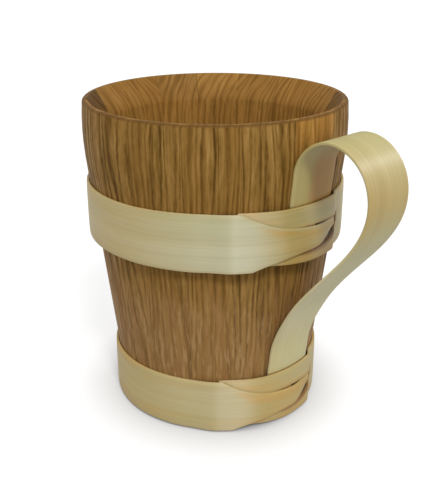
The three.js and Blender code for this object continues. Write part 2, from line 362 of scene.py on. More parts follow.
def swept(profile):
    """Points and faces of a half section, given as (radius, height), swept round the axis"""
    count = len(profile)
    points = []
    faces = []
    for step in range(FLOOR_STEPS):
        angle = 2 * math.pi * step / FLOOR_STEPS
        here = step * count
        beside = (step + 1) % FLOOR_STEPS * count
        points += [(r * math.cos(angle), r * math.sin(angle), z) for r, z in profile]
        faces += [(here + k, beside + k, beside + k + 1, here + k + 1) for k in range(count - 1)]
    return points, faces


def round_edges(mesh, width, sharp_angle):
    """Rounds every edge sharper than the angle, and drops vertices that no face uses"""
    work = bmesh.new()
    work.from_mesh(mesh)
    unused = [v for v in work.verts if not v.link_faces]
    bmesh.ops.delete(work, geom=unused, context="VERTS")
    bmesh.ops.recalc_face_normals(work, faces=work.faces)
    sharp = [e for e in work.edges if e.calc_face_angle(0) > sharp_angle]
    bmesh.ops.bevel(
        work, geom=sharp, offset=width, segments=EDGE_STEPS, profile=0.5, affect="EDGES", clamp_overlap=True
    )
    work.to_mesh(mesh)
    work.free()


def add_piece(mesh, node, material):
    """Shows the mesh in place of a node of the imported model"""
    mesh.shade_smooth()
    mesh.set_sharp_from_angle(angle=SHADED_SHARP)
    mesh.materials.append(material)
    piece = new_object(mesh.name, mesh)
    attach(piece, "root")
    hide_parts(node)


# Staves

def groove_span():
    """Lower and upper edge of the groove"""
    middle = FLOOR_RECESS + FLOOR_THICKNESS / 2
    return middle - GROOVE_WIDTH / 2, middle + GROOVE_WIDTH / 2


def stave_profile():
    """Side view of a stave as (radius, height): foot, outer wall, lip, bevel, inner wall, groove"""
    low, top = groove_span()
    wall_steps = round(HEIGHT / WALL_STEP)
    lip_start = HEIGHT - LIP_ROUND
    heights = np.linspace(FOOT_CHAMFER, lip_start, wall_steps, endpoint=False)
    rim = outer_wall(lip_start)
    bevel_foot = HEIGHT - BEVEL_DEPTH
    bevel_start = (rim - LIP_WIDTH, HEIGHT)
    bevel_bend = (inner_wall(bevel_foot), bevel_foot + BEVEL_BEND)
    bevel_end = (inner_wall(bevel_foot), bevel_foot)
    groove_mouth = (inner_wall(top), top)
    return np.concatenate([
        [(outer_wall(0) - FOOT_CHAMFER, 0)],
        np.stack([outer_wall(heights), heights], axis=1),
        arc((rim - LIP_ROUND, lip_start), LIP_ROUND, 0, math.pi / 2, LIP_STEPS),
        [(rim - LIP_ROUND, HEIGHT)],
        bezier([bevel_start, bevel_bend, bevel_end], BEVEL_STEPS),
        line(bevel_end, groove_mouth, wall_steps),
        [groove_mouth],
        [(inner_wall(top) + GROOVE_DEPTH, top)],
        [(inner_wall(low) + GROOVE_DEPTH, low)],
        [(inner_wall(low), low)],
        [(inner_wall(FOOT_CHAMFER), FOOT_CHAMFER)],
        [(inner_wall(0) + FOOT_CHAMFER, 0)],
    ])


def stave_mesh(name):
    """One stave about +X: the profile swept round its share of the circle"""
    profile = stave_profile()
    radius = profile[:, 0]
    height = profile[:, 1]
    count = len(profile)
    half_angle = math.pi / STAVE_COUNT - np.arcsin(SEAM / 2 / radius)
    points = []
    for step in range(STAVE_STEPS + 1):
        angle = half_angle * (2 * step / STAVE_STEPS - 1)
        points.append(np.stack([radius * np.cos(angle), radius * np.sin(angle), height], axis=1))
    faces = []
    for step in range(STAVE_STEPS):
        for k in range(count):
            here = step * count + k
            beside = step * count + (k + 1) % count
            faces.append((here, here + count, beside + count, beside))
    last = STAVE_STEPS * count
    faces.append(tuple(range(count)))
    faces.append(tuple(last + k for k in reversed(range(count))))
    mesh = new_mesh(name, np.concatenate(points), faces)
    round_edges(mesh, SEAM_EASE, STAVE_SHARP)
    return mesh


def board_places(across, through, along, lean, place):
    """Place in the log, in millimetres: out across the growth rings, along a ring, along the grain"""
    run_out = RINGS_RUN_OUT * along * math.sin(place)
    out = across * math.cos(lean) + through * math.sin(lean) + run_out
    sideways = through * math.cos(lean) - across * math.sin(lean)
    ring = np.hypot(out + RINGS_RADIUS, sideways) - RINGS_RADIUS
    return np.stack([ring, sideways, along], axis=1) / MM + BOARD_APART * place


def rim_shares(radius, height, tone):
    """How far a place is on the lip and on the inside, and the bevel's brightness there"""
    inside = ease(outer_wall(height) - radius, LIP_ROUND, LIP_WIDTH)
    lip = ease(height, HEIGHT - LIP_ROUND, HEIGHT - LIP_ROUND / 3) * (1 - inside)
    bevel = ease(height, HEIGHT - BEVEL_DEPTH, HEIGHT - BEVEL_DEPTH / 2) * inside
    return np.stack([lip, inside, tone * bevel], axis=1)


def add_staves(material):
    """Each stave is its own board: its place in the wood, its lean and its tone are drawn by lot"""
    draw = random.Random(WOOD_SEED)
    for i in range(STAVE_COUNT):
        number = i + 1
        mesh = stave_mesh(f"fine_stave_{number:02d}")
        x, y, z = vectors_of(mesh.vertices, "co").T
        lean = draw.uniform(RINGS_LEAST_LEAN, RINGS_MOST_LEAN)
        if number in RINGS_TURNED:
            lean = -lean
        wave = 1.0 if number in WAVY_STAVES else STRAIGHT_GRAIN
        place = draw.uniform(*STAVE_PLACES)
        set_attribute(mesh, "board", board_places(y, x - outer_wall(z), z, lean, place))
        set_attribute(mesh, "end_grain", np.abs(vectors_of(mesh.vertex_normals, "vector")[:, 2]))
        drawn_tone = draw.uniform(-1, 1)
        # Stave 3's set tone is painted shade
        set_attribute(mesh, "tone", STAVE_TONES.get(number, drawn_tone))
        set_attribute(mesh, "wave", wave)
        # How low on the wall: the painted light from the floor and the dark feet follow it
        set_attribute(mesh, "low_on_wall", ease(z, LOW_WALL_FROM, LOW_WALL_FULLY))
        rim = rim_shares(x, z, BEVEL_TONES.get(number, 0.0))
        if number == GOLDEN_STAVE:
            golden = ease(z, GOLDEN_FROM, HEIGHT)
            rim[:, 1] = np.maximum(rim[:, 1], golden)
            rim[:, 2] += GOLDEN_TONE * golden
        set_attribute(mesh, "rim", rim)
        turn = 2 * math.pi * i / STAVE_COUNT
        turned_x = x * math.cos(turn) - y * math.sin(turn)
        turned_y = x * math.sin(turn) + y * math.cos(turn)
        mesh.vertices.foreach_set("co", np.stack([turned_x, turned_y, z], axis=1).ravel())
        add_piece(mesh, f"stave_{number:02d}", material)


# Floor board

def floor_profile():
    """Half section of the floor board as (radius, height), from the flat below to the flat above"""
    low, top = groove_span()
    edge_low = low + FIT
    edge_top = top - FIT
    edge_radius = inner_wall(low) + GROOVE_DEPTH - FIT
    return np.array([
        (inner_wall(FLOOR_RECESS) - FLOOR_LOWER_BEVEL, FLOOR_RECESS),
        (inner_wall(edge_low) - FIT, edge_low),
        (edge_radius, edge_low),
        (edge_radius, edge_top),
        (inner_wall(edge_top) - FIT, edge_top),
        (inner_wall(edge_top) - FLOOR_UPPER_BEVEL, FLOOR_RECESS + FLOOR_THICKNESS),
    ])


def add_floor_board(material):
    """The half section swept round the axis. Its grain runs along X."""
    profile = floor_profile()
    count = len(profile)
    points, faces = swept(profile)
    faces.append(tuple(step * count for step in reversed(range(FLOOR_STEPS))))
    faces.append(tuple(step * count + count - 1 for step in range(FLOOR_STEPS)))
    mesh = new_mesh("fine_floor_board", points, faces)
    round_edges(mesh, FLOOR_EASE, FLOOR_SHARP)
    x, y, z = vectors_of(mesh.vertices, "co").T
    set_attribute(mesh, "board", board_places(y, z, x, RINGS_LEAST_LEAN, FLOOR_PLACE))
    set_attribute(mesh, "end_grain", np.abs(vectors_of(mesh.vertex_normals, "vector")[:, 0]))
    set_attribute(mesh, "tone", 0)
    set_attribute(mesh, "wave", STRAIGHT_GRAIN)
    set_attribute(mesh, "low_on_wall", 0)
    set_attribute(mesh, "rim", np.zeros((len(x), 3)))
    add_piece(mesh, "floor_board", material)


# Bent strips

def strip_mesh(name, places, open_cells):
    """A strip with a thickness, from a grid of places: station along it, row across it, inner and outer face.
    The open cells are left out as a slot."""
    stations, rows = places.shape[:2]
    solid = np.zeros((stations + 1, rows + 1), bool)
    solid[1:stations, 1:rows] = ~open_cells
    faces = []

    def wall(a, b):
        faces.append((a, a + 1, b + 1, b))

    for station in range(stations - 1):
        for row in range(rows - 1):
            if open_cells[station, row]:
                continue
            a = (station * rows + row) * 2
            b = a + rows * 2
            c = b + 2
            d = a + 2
            faces.append((a, b, c, d))
            faces.append((a + 1, d + 1, c + 1, b + 1))
            if not solid[station + 1, row]:
                wall(a, b)
            if not solid[station + 2, row + 1]:
                wall(b, c)
            if not solid[station + 1, row + 2]:
                wall(c, d)
            if not solid[station, row + 1]:
                wall(d, a)
    return new_mesh(name, places.reshape(-1, 3), faces)


def set_strip_attributes(mesh, along, rows, thickness, tongue, slotted, tint, pale_and_lit, gap, place):
    """Stores each vertex's place on the strip, its distance from both edges, how far it is in the lock,
    how deep its tint is (on the handle, painted shade), how far it is painted pale, partly as painted light,
    and its distance from the gap under another piece, where shade is painted"""

    def on_grid(*parts):
        """Numbers for all, for each station, for each row of a station or for each vertex, side by side"""
        spread = []
        for part in parts:
            part = np.asarray(part)
            part = part.reshape(part.shape + (1,) * (3 - part.ndim))
            spread.append(np.broadcast_to(part, (*rows.shape, 2)).ravel())
        return np.stack(spread, axis=1)

    depth = [[[0, thickness]]]
    set_attribute(mesh, "strip", on_grid(along, rows, depth) / MM + STRIP_APART * place)
    set_attribute(mesh, "edges", on_grid(rows - rows[:, :1], rows[:, -1:] - rows, 0) / MM)
    set_attribute(mesh, "lock", on_grid(tongue, slotted, tint))
    set_attribute(mesh, "pale_and_lit", on_grid(pale_and_lit)[:, 0])
    set_attribute(mesh, "gap", on_grid(gap)[:, 0])


def shaved_thickness(thickness, along, rows, seed):
    """Thickness of a strip that is shaved by hand: uneven along it, and thinner towards both edges"""
    edge = np.minimum(rows - rows[:, :1], rows[:, -1:] - rows)
    thin = SHAVED_THIN * waver(along, seed, THIN_LENGTH)
    return (thickness - thin)[:, None] - EDGE_THIN * np.exp(-edge / EDGE_REACH)


# Hoops

class HoopLock:
    """Places along one hoop, as arc lengths from the middle of the handle, turning from +X to +Y.
    The strip starts at its slotted tip, passes over the handle, goes once round the cup and climbs over
    the tip. Its tongue then narrows, sinks into the slot and ends as a tail under the strip.
    A straight strip bends to a cylinder, so it is tight on the tapered wall at its upper edge only."""

    def __init__(self, low):
        self.tight_radius = outer_wall(min(low + HOOP_WIDTH, WIDEST))
        self.turn = 2 * math.pi * self.tight_radius
        self.lock_end = HANDLE_EDGE + SLOT_PAST_HANDLE
        self.tip = -HANDLE_EDGE - SLOTTED_TIP
        self.shoulder = self.lock_end - TONGUE_LENGTH
        self.sink_start = HANDLE_EDGE - CLIMB
        self.tail_end = self.lock_end + TAIL_LENGTH
        self.over_handle = HANDLE_THICKNESS + FIT
        self.over_strip = HOOP_THICKNESS + FIT
        self.tail_drop = self.tight_radius - outer_wall(low + HOOP_WIDTH - TONGUE_UPPER_CUT)

    def past_handle(self, s):
        """From 0 over the handle to 1 at the end of the lock"""
        return ease(s, HANDLE_EDGE, self.lock_end - FIT)

    def lift(self, s):
        """Height of the inner face over the tight radius.
        The thin tail lies in the gap that the tapered wall leaves behind the strip."""
        past = s - self.turn
        first = self.over_handle * ease(s, self.tip + FIT, -HANDLE_EDGE) * (1 - self.past_handle(s))
        on_tip = self.over_strip * ease(past, self.tip - CLIMB, self.tip - FIT)
        on_tip = on_tip * (1 - ease(past, self.sink_start, HANDLE_EDGE))
        on_handle = self.over_handle * ease(past, self.tip + FIT, -HANDLE_EDGE)
        dropped = self.past_handle(past)
        second = on_tip + on_handle * (1 - dropped) - self.tail_drop * dropped
        return FIT + np.where(s < self.turn / 2, first, second)

    def thickness(self, s):
        """The tongue is shaved thin at its tail"""
        return HOOP_THICKNESS + (TAIL_THICKNESS - HOOP_THICKNESS) * self.past_handle(s - self.turn)

    def between(self, s, start):
        """Share of the way from a place to the end of the lock"""
        return np.clip((s - start) / (self.lock_end - start), 0, 1)

    def cut_share(self, s, start):
        """A cut that is steep at its shoulder and then runs out level"""
        return 1 - (1 - self.between(s, start)) ** CUT_POWER

    def tongue_edges(self, past):
        """Upper and lower edge of the tongue, as distances down from the strip's upper edge"""
        upper = TONGUE_UPPER_CUT * self.cut_share(past, self.shoulder)
        cut = TONGUE_LOWER_CUT * self.cut_share(past, self.shoulder + LOWER_SHOULDER_LAG)
        to_tail = HOOP_WIDTH - TONGUE_LOWER_CUT - TONGUE_UPPER_CUT - TAIL_WIDTH
        narrowed = to_tail * ease(past, self.sink_start, (HANDLE_EDGE + self.lock_end) / 2)
        return upper, HOOP_WIDTH - cut - narrowed

    def slot_edges(self, s):
        """Close above the tongue, with a gap under it that closes at the slot's end"""
        upper = self.tongue_edges(np.maximum(s, self.sink_start))[0] - SLOT_CLEARANCE
        at_start = HOOP_WIDTH - BAR_UNDER_SLOT
        at_end = TONGUE_UPPER_CUT + TAIL_WIDTH + SLOT_END_GAP
        return upper, at_start + (at_end - at_start) * self.between(s, self.sink_start) ** SLOT_END_POWER

    def tip_lower(self, s):
        """Lower edge of the slotted tip, which is trimmed"""
        return HOOP_WIDTH - TIP_TRIM * (1 - ease(s, -HANDLE_EDGE - CLIMB, self.sink_start))

    def stations(self):
        """Places along the strip where it gets a row of points, with both ends of the slot among them"""
        keys = [self.tip, self.sink_start, self.lock_end, self.tail_end]
        keys += [self.turn + self.tip, self.turn + self.tail_end]
        runs = []
        for start, end in zip(keys, keys[1:]):
            steps = max(1, round((end - start) / STRIP_STEP))
            runs.append(line((start,), (end,), steps)[:, 0])
        return np.concatenate(runs + [keys[-1:]])

    def rows(self, s):
        """Rows across the strip, as distances down.
        The slot's edges are rows, and the tongue's rows draw together."""
        slot_top, slot_foot = [edge[:, None] for edge in self.slot_edges(s)]
        lower_edge = self.tip_lower(s)[:, None]
        bar_share = np.linspace(0, 1, BAR_ROWS)
        slot_share = np.linspace(0, 1, SLOT_ROWS)[1:-1]
        upper_bar = slot_top * bar_share
        slot = slot_top + (slot_foot - slot_top) * slot_share
        lower_bar = slot_foot + (lower_edge - slot_foot) * bar_share
        plain = np.concatenate([upper_bar, slot, lower_bar], axis=1)
        upper, lower = [edge[:, None] for edge in self.tongue_edges(s - self.turn)]
        drawn_in = upper + (lower - upper) * np.linspace(0, 1, plain.shape[1])
        share = ease(s, self.tail_end, self.turn + self.tip)[:, None]
        return plain * (1 - share) + drawn_in * share

    def open_cells(self, s, row_count):
        """The cells of the grid that are the slot"""
        middle = (s[1:] + s[:-1]) / 2
        cells = np.zeros((len(middle), row_count - 1), bool)
        inside = (middle > self.sink_start) & (middle < self.lock_end)
        cells[inside, BAR_ROWS - 1:BAR_ROWS + SLOT_ROWS - 2] = True
        return cells

    def on_tongue(self, s):
        """From 0 before the tongue's shoulder to 1 on the tongue"""
        return ease(s - self.turn, self.shoulder, self.shoulder + CLIMB)

    def on_painted_sheen(self, s):
        """Painted sheen: 1 at the tongue's shoulder, and 0 well before it and at the handle"""
        past = s - self.turn
        before = ease(past, self.shoulder - PAINTED_SHEEN_RUN, self.shoulder)
        return before * (1 - ease(past, self.shoulder, -HANDLE_EDGE))

    def on_slotted_end(self, s):
        """From 0 at the slotted tip to 1 at the slot, and back to 0 past the tail"""
        return ease(s, self.tip, HANDLE_EDGE) * (1 - ease(s, self.tail_end, self.tail_end + CLIMB))

    def from_gap(self, s, rows):
        """Distance, in reaches of painted shade, from the gap along the tongue's edges and the slot's lower
        edge.
        It is 0 in the gap, and away from the slotted end it is clear of all painted shade."""
        # The shade of the gap is painted: this distance darkens the strip along the tongue and round the slot
        upper, lower = self.tongue_edges(s)
        above = upper[:, None] - rows
        below = rows - np.maximum(lower, self.slot_edges(s)[1])[:, None]
        beside = np.maximum(above / PAINTED_SHADE_ABOVE_TONGUE, below / PAINTED_SHADE_BELOW_TONGUE)
        past_slot = ease(s, self.lock_end, self.lock_end + PAINTED_SHADE_PAST_SLOT)
        slotted = ease(s, self.tip, self.sink_start) * (1 - past_slot)
        return np.maximum(beside, 0) + NO_PAINTED_SHADE * (1 - slotted[:, None])


def shaved_rows(lock, s, seed):
    """Draws the strip's edges in by a slow unevenness, away from the lock"""
    rows = lock.rows(s)
    free = ease(s, lock.tail_end, lock.tail_end + CLIMB)
    free = free * (1 - ease(s, lock.turn + lock.tip - CLIMB, lock.turn + lock.tip))
    upper = SHAVED_EDGE * free * waver(s, seed, lock.turn / 3)
    lower = SHAVED_EDGE * free * waver(s, seed + 1, lock.turn / 4)
    share = rows / HOOP_WIDTH
    return rows + upper[:, None] * (1 - share) - lower[:, None] * share


def add_hoop(node, low, amber, tint, pale, seed, material):
    """One hoop, with how amber its lock is, how deep its tint is and how far it pales at the tongue as a
    painted sheen
    """
    lock = HoopLock(low)
    s = lock.stations()
    rows = shaved_rows(lock, s, seed)
    height = low + HOOP_WIDTH - rows
    angle = (s / lock.tight_radius)[:, None]
    inner = np.broadcast_to(lock.tight_radius + lock.lift(s)[:, None], rows.shape)
    outer = inner + shaved_thickness(lock.thickness(s), s, rows, seed + 2)
    sides = []
    for radius in (inner, outer):
        sides.append(np.stack([radius * np.cos(angle), radius * np.sin(angle), height], axis=2))
    mesh = strip_mesh(f"fine_{node}", np.stack(sides, axis=2), lock.open_cells(s, rows.shape[1]))
    tongue = amber * lock.on_tongue(s)
    slotted = amber * lock.on_slotted_end(s)
    # The hoop's paleness before its tongue is a painted sheen
    deep = tint * (1 - pale * lock.on_painted_sheen(s)) * (1 - SLOTTED_PALE * lock.on_slotted_end(s))
    gap = lock.from_gap(s, rows)
    set_strip_attributes(mesh, s, rows, HOOP_THICKNESS, tongue, slotted, deep, 0, gap, seed)
    round_edges(mesh, HOOP_EASE, STRIP_SHARP)
    add_piece(mesh, node, material)


# Handle

def handle_path():
    """Side view of the face of the handle that starts against the wall: its places, directions and
    arc lengths, and the arc lengths where the strip leaves the wall, is highest, is farthest out and
    meets the wall again"""

    def off_wall(height, out):
        return np.array([outer_wall(height) + out, height])

    def bend(start, leaving, leaving_reach, end, coming, coming_reach):
        return bezier([start, start + leaving * leaving_reach, end - coming * coming_reach, end], PATH_STEPS)

    out_of_wall = FIT + HANDLE_THICKNESS
    outward = np.array([1.0, 0.0])
    downward = np.array([0.0, -1.0])
    crest_height = HEIGHT - HANDLE_CREST_BELOW_RIM
    leaves_height = crest_height - HANDLE_CREST_RISE
    tucked = np.linspace(TOP_HOOP_LOW + HANDLE_TUCK_MARGIN, leaves_height, PATH_STEPS, endpoint=False)
    leaves = off_wall(leaves_height, FIT)
    crest = off_wall(crest_height, HANDLE_CREST_OUT)
    farthest = off_wall(crest_height - HANDLE_CREST_FALL, HANDLE_DEPTH)
    meets = off_wall(BOTTOM_HOOP_LOW + HOOP_WIDTH + HANDLE_MEETS_ABOVE_HOOP, out_of_wall)
    end = off_wall(BOTTOM_HOOP_LOW + HANDLE_TUCK_MARGIN, out_of_wall)
    rise = QUARTER_ROUND * HANDLE_CREST_RISE
    crest_in = QUARTER_ROUND * HANDLE_CREST_OUT
    crest_on = QUARTER_ROUND * (farthest[0] - crest[0])
    fall = QUARTER_ROUND * HANDLE_CREST_FALL
    fine = np.concatenate([
        off_wall(tucked, FIT).T,
        bend(leaves, up_wall(leaves_height), rise, crest, outward, crest_in),
        bend(crest, outward, crest_on, farthest, downward, fall),
        bend(farthest, downward, HANDLE_UPPER_EASE, meets, -up_wall(meets[1]), HANDLE_LOWER_EASE),
        line(meets, end, PATH_STEPS),
        [end],
    ])
    length = np.concatenate([[0], np.cumsum(np.hypot(*np.diff(fine, axis=0).T))])
    along = np.linspace(0, length[-1], HANDLE_STEPS + 1)
    places = np.stack([np.interp(along, length, fine[:, k]) for k in range(2)], axis=1)
    directions = np.gradient(places, along, axis=0)
    directions /= np.hypot(*directions.T)[:, None]
    leaves_at, crest_at, farthest_at, meets_at = length[PATH_STEPS:-1:PATH_STEPS]
    return places, directions, along, leaves_at, crest_at, farthest_at, meets_at


def handle_painted_shade(along, share, leaves, crest, farthest):
    """Depth of the painted shade: on the outer face at the farthest bend, and the loop's painted shadow on
    the face inside the loop at the root
    """
    far = ease(along, crest, farthest) * (1 - ease(along, farthest, farthest + HANDLE_CREST_FALL))
    root = (1 - ease(along, leaves, crest))[:, None] * ease(share, ROOT_SHADOW_START, ROOT_SHADOW_FULL)
    return np.stack([FAR_BEND_SHADE * far[:, None] + 0 * root, root], axis=2)


def handle_pale_and_lit(along, crest, farthest, meets):
    """How far the strip is painted pale: below the farthest bend partly its own paler colour and partly
    painted light on faces turned from the lamp, and a painted highlight between crest and bend
    """
    low = ease(along, farthest, farthest + HANDLE_PALENESS_RUN)
    low = low * (1 - FOOT_LESS_PALE * ease(along, meets - HANDLE_CUPPED_RUN, meets))
    bend = (crest + farthest) / 2
    return low + CREST_HIGHLIGHT * ease(along, crest, bend) * (1 - ease(along, bend, farthest))


def handle_gap(height, along, crest):
    """Distance, in reaches of painted shade, from the hoop that each end of the strip goes under"""
    hoop_edge = np.where(along < crest, TOP_HOOP_LOW, BOTTOM_HOOP_LOW) + HOOP_WIDTH
    return np.maximum(height - hoop_edge, 0) / PAINTED_SHADE_ABOVE_HOOP


def add_handle(material):
    """The strip is flat across its width in the loop, and cupped to the wall at both ends"""
    places, directions, along, leaves, crest, farthest, meets = handle_path()
    in_loop = ease(along, leaves, leaves + HANDLE_CUPPED_RUN)
    in_loop = in_loop * (1 - ease(along, meets - HANDLE_CUPPED_RUN, meets))
    cupped = (1 - in_loop)[:, None]
    left = SHAVED_EDGE * in_loop * waver(along, HANDLE_SEED, HANDLE_LEFT_LENGTH)
    right = SHAVED_EDGE * in_loop * waver(along, HANDLE_SEED + 1, HANDLE_RIGHT_LENGTH)
    share = np.linspace(0, 1, HANDLE_ROWS)
    rows = HANDLE_WIDTH * share + left[:, None] * (1 - share) - right[:, None] * share
    across = rows - HANDLE_WIDTH / 2
    thickness = shaved_thickness(HANDLE_THICKNESS, along, rows, HANDLE_SEED + 2)
    sides = []
    for depth in (0 * thickness, thickness):
        radius = places[:, :1] + depth * directions[:, 1:]
        height = places[:, 1:] - depth * directions[:, :1]
        angle = across / radius
        x = radius + cupped * radius * (np.cos(angle) - 1)
        y = across + cupped * (radius * np.sin(angle) - across)
        sides.append(np.stack([x, y, height], axis=2))
    no_slot = np.zeros((len(along) - 1, HANDLE_ROWS - 1), bool)
    mesh = strip_mesh("fine_handle", np.stack(sides, axis=2), no_slot)
    # The handle's tint is painted shade at the far bend and a painted shadow of the loop on the root
    tint = handle_painted_shade(along, share, leaves, crest, farthest)
    pale_and_lit = handle_pale_and_lit(along, crest, farthest, meets)
    gap = handle_gap(places[:, 1], along, crest)
    set_strip_attributes(mesh, along, rows, HANDLE_THICKNESS, 0, 0, tint, pale_and_lit, gap, HANDLE_PLACE)
    round_edges(mesh, HANDLE_EASE, STRIP_SHARP)
    add_piece(mesh, "handle", material)


# Materials

def srgb(red, green, blue):
    """A colour written as it looks on a screen, from 0 to 255"""
    parts = [c / 255 for c in (red, green, blue)]
    return (*[c / 12.92 if c <= 0.04045 else ((c + 0.055) / 1.055) ** 2.4 for c in parts], 1.0)


# Colours of the woods, the grain's from dark to light
OAK_STOPS = [
    (0.0, srgb(54, 34, 6)),
    (0.28, srgb(92, 64, 20)),
    (0.5, srgb(124, 92, 40)),
    (0.72, srgb(148, 112, 56)),
    (1.0, srgb(172, 136, 78)),
]
FLOOR_STOPS = [
    (0.0, srgb(66, 44, 14)),
    (0.3, srgb(106, 78, 34)),
    (0.55, srgb(140, 106, 54)),
    (1.0, srgb(178, 144, 90)),
]
WARM_OAK = srgb(132, 93, 38)
# Painted light from the white floor on the lower wall, and the lower wall's pale flecks
FLOOR_LIT_OAK = srgb(152, 117, 75)
LOW_WALL_FLECK = srgb(172, 137, 92)
ROSY_OAK = srgb(140, 96, 58)
# Inside colour, lighter than the wall: partly its own, partly painted light against the shade in the cup
INSIDE_OAK = srgb(152, 106, 46)
# Lip colour: partly its darker end grain, partly painted shade against the sky's reflection on it
LIP_OAK = srgb(96, 66, 24)
FOOT_OAK = srgb(66, 44, 20)
# Pale colour of the handle's lower run, partly its own and partly painted light, and of its painted highlight
# past the crest
PALE_LIT_WOOD = srgb(216, 207, 163)
# Colour of the painted shade in the gaps under and beside the strips
GAP_SHADE_COLOUR = srgb(126, 76, 0)


class Shader:
    """Makes and joins the nodes of one material"""

    def __init__(self, name):
        self.material = bpy.data.materials.new(name)
        self.material.use_nodes = True
        self.tree = self.material.node_tree
        self.surface = self.tree.nodes["Principled BSDF"]

    def node(self, kind, inputs, **settings):
        made = self.tree.nodes.new(kind)
        for key, value in settings.items():
            setattr(made, key, value)
        for socket, value in inputs.items():
            self.join(made.inputs[socket], value)
        return made

    def join(self, socket, value):
        if isinstance(value, bpy.types.NodeSocket):
            self.tree.links.new(value, socket)
        else:
            socket.default_value = value

    def set(self, **values):
        """Joins values to the surface's sockets, named with _ for a space"""
        for name, value in values.items():
            self.join(self.surface.inputs[name.replace("_", " ")], value)

    def vector(self, name):
        return self.node("ShaderNodeAttribute", {}, attribute_name=name).outputs["Vector"]

    def number(self, name):
        return self.node("ShaderNodeAttribute", {}, attribute_name=name).outputs["Fac"]

    def part(self, vector, axis):
        return self.node("ShaderNodeSeparateXYZ", {"Vector": vector}).outputs[axis]

    def math(self, operation, a, b=0.0, c=0.0):
        return self.node("ShaderNodeMath", {0: a, 1: b, 2: c}, operation=operation).outputs[0]

    def times(self, a, b):
        return self.math("MULTIPLY", a, b)

    def waved(self, start, noise, size):
        """start + (noise - 0.5) * size, for a noise that wavers about a half"""
        return self.math("MULTIPLY_ADD", self.math("SUBTRACT", noise, 0.5), size, start)

    def noise(self, vector, scale, detail=2.0, roughness=0.5):
        """Noise from 0 to 1; the scale gives spots for each millimetre along each axis"""
        scaled = self.node("ShaderNodeVectorMath", {0: vector, 1: scale}, operation="MULTIPLY").outputs[0]
        inputs = {"Vector": scaled, "Scale": 1.0, "Detail": detail, "Roughness": roughness}
        return self.node("ShaderNodeTexNoise", inputs).outputs["Fac"]

    def smooth(self, value, start, end, low=0.0, high=1.0):
        """Goes smoothly from low at start to high at end"""
        inputs = {"Value": value, "From Min": start, "From Max": end, "To Min": low, "To Max": high}
        return self.node("ShaderNodeMapRange", inputs, interpolation_type="SMOOTHSTEP").outputs["Result"]

    def ramp(self, value, stops):
        made = self.node("ShaderNodeValToRGB", {"Fac": value})
        elements = made.color_ramp.elements
        while len(elements) < len(stops):
            elements.new(1.0)
        for element, (place, colour) in zip(elements, stops):
            element.position = place
            element.color = colour
        return made.outputs["Color"]

    def mix(self, share, a, b, blend="MIX"):
        made = self.node("ShaderNodeMix", {"Factor": share, 6: a, 7: b}, data_type="RGBA", blend_type=blend)
        return made.outputs[2]

    def brighten(self, colour, value):
        return self.node("ShaderNodeHueSaturation", {"Value": value, "Color": colour}).outputs["Color"]

    def bump(self, height, strength, distance):
        inputs = {"Height": height, "Strength": strength, "Distance": distance}
        return self.node("ShaderNodeBump", inputs).outputs["Normal"]


def oak_grain(shader, board, long_face, ring_spacing):
    """Grain from dark to light, and the place in the log after the sway of its rings"""

    # The rings sway, more so in the staves with wavy grain
    drift = shader.noise(board, (0.05, 0.05, 0.012))
    sway = shader.noise(board, (0.3, 0.1, 0.03))
    wobble = shader.noise(board, (0.5, 0.1, 0.21), 1.0)
    out = shader.waved(shader.part(board, "X"), drift, 6.0)
    out = shader.waved(out, sway, 0.8)
    out = shader.waved(out, wobble, shader.times(shader.number("wave"), 0.8))
    inputs = {"X": out, "Y": shader.part(board, "Y"), "Z": shader.part(board, "Z")}
    swayed = shader.node("ShaderNodeCombineXYZ", inputs).outputs[0]

    # Early wood is dark, late wood is light
    uneven = shader.noise(swayed, (0.22, 0.02, 0.01), 1.0)
    rings = shader.waved(shader.math("DIVIDE", out, ring_spacing), uneven, 3.0)
    across_ring = shader.math("FRACT", rings)
    late = shader.times(shader.smooth(across_ring, 0.0, 0.45), shader.smooth(across_ring, 1.0, 0.75))

    # Broad streaks run through the wood as sheets, with finer threads and short flecks between them
    streak = shader.noise(swayed, (0.42, 0.12, 0.02))
    thread = shader.noise(swayed, (0.95, 0.5, 0.08))
    fleck = shader.noise(swayed, (1.2, 0.8, 0.24), 2.0, 0.6)

    # Pores lie mostly in the early wood, and a few dark lines cross the rings
    pore_spots = shader.noise(swayed, (1.6, 1.2, 0.1), 2.0, 0.55)
    pores = shader.times(shader.smooth(pore_spots, 0.54, 0.7), shader.smooth(late, 0.9, 0.1, 0.2, 1.0))
    slow = shader.noise(swayed, (0.2, 0.03, 0.006), 1.0)
    off_line = shader.math("ABSOLUTE", shader.math("SUBTRACT", slow, 0.5))
    dark_line = shader.smooth(off_line, 0.03, 0.006)

    grain = shader.waved(0.5, late, 0.3)
    grain = shader.waved(grain, streak, 0.6)
    grain = shader.waved(grain, thread, shader.times(long_face, 0.7))
    grain = shader.waved(grain, fleck, shader.times(long_face, 0.4))
    grain = shader.math("MULTIPLY_ADD", shader.times(pores, long_face), -0.1, grain)
    grain = shader.math("MULTIPLY_ADD", dark_line, -0.07, grain)
    return grain, swayed


